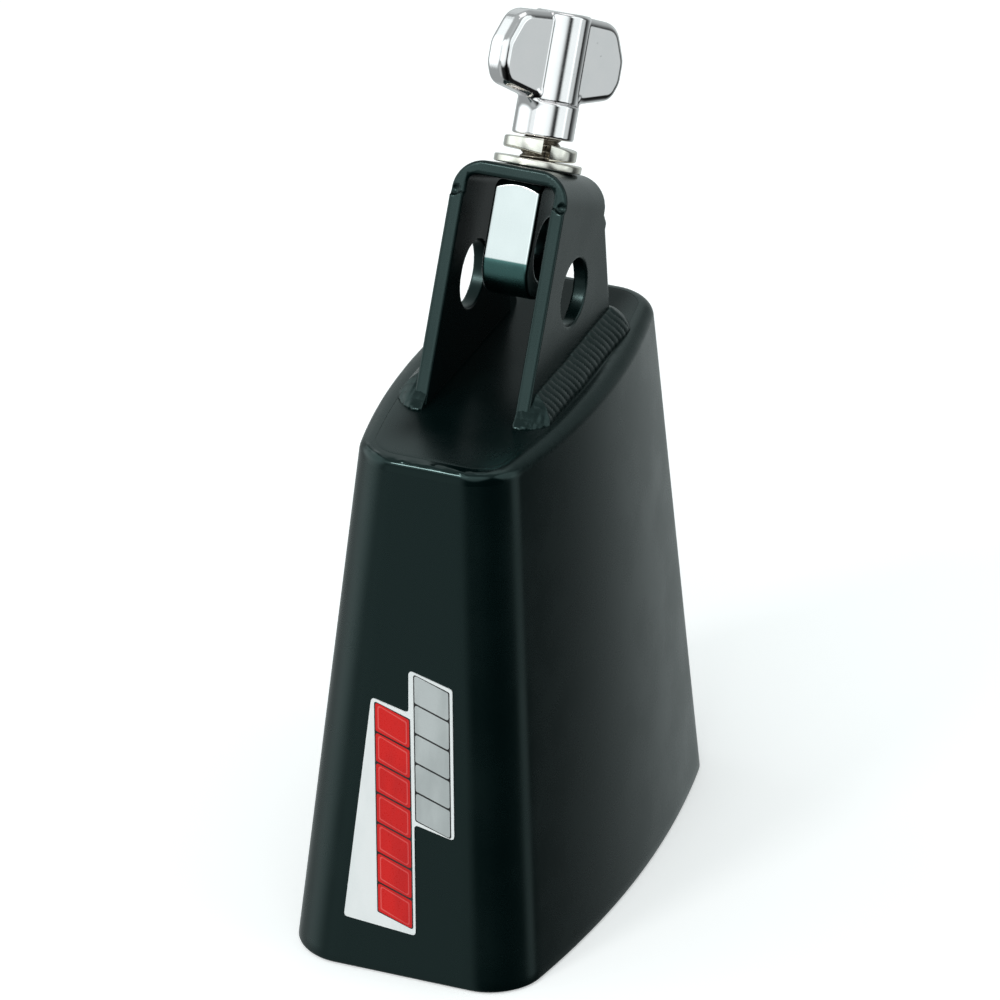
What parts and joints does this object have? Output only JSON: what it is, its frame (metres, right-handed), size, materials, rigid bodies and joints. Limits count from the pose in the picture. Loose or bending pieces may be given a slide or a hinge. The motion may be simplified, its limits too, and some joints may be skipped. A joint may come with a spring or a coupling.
{
  "type": "cowbell",
  "caption": "Tapered sheet-steel percussion bell with an open mouth, a welded U-shaped rod bracket and an eye bolt drawn up by a wing nut to clamp the bell on a round rod.",
  "frame": {"origin": "centre of the open mouth, in the plane of its rim", "axes": "+Z from the mouth towards the cap, -Y towards the narrow face with the label, +X across the bell along the rod it is mounted on"},
  "size_m": [0.061, 0.1096, 0.1828],
  "materials": {
    "black_powder_coat": "satin black powder coat on steel",
    "printed_film": "printed plastic film",
    "zinc_plate": "blue-white zinc plate on steel",
    "nickel_plate": "bright nickel plate on steel",
    "chrome_plate": "polished chrome plate"
  },
  "bodies": {
    "bell": {"bell_shell": "black_powder_coat", "shell_seam_weld": "black_powder_coat", "cap_plate": "black_powder_coat", "cap_weld": "black_powder_coat", "mount_bracket": "black_powder_coat", "bracket_weld_right": "black_powder_coat", "bracket_weld_left": "black_powder_coat", "label": "printed_film"},
    "eye_bolt": {"eye_bolt": "zinc_plate"},
    "flat_washer": {"flat_washer": "nickel_plate"},
    "wing_nut": {"wing_nut": "chrome_plate", "spring_washer": "nickel_plate"}
  },
  "joints": [
    {"name": "wing_nut_spin", "type": "hinge", "parent": "bell", "child": "wing_nut", "pos_m": [0, 0.02171, 0.15539], "axis": [0, 0.4602, 0.8878], "range_deg": [0, 2160]},
    {"name": "eye_bolt_travel", "type": "slide", "parent": "bell", "child": "eye_bolt", "axis": [0, -0.4602, -0.8878], "range_m": [0, 0.0075]},
    {"name": "flat_washer_spin", "type": "hinge", "parent": "bell", "child": "flat_washer", "pos_m": [0, 0.01918, 0.15051], "axis": [0, 0.4602, 0.8878], "continuous": true}
  ],
  "couplings": [
    {"joint": "eye_bolt_travel", "follows": "wing_nut_spin", "m_per_rad": 0.00019894}
  ]
}
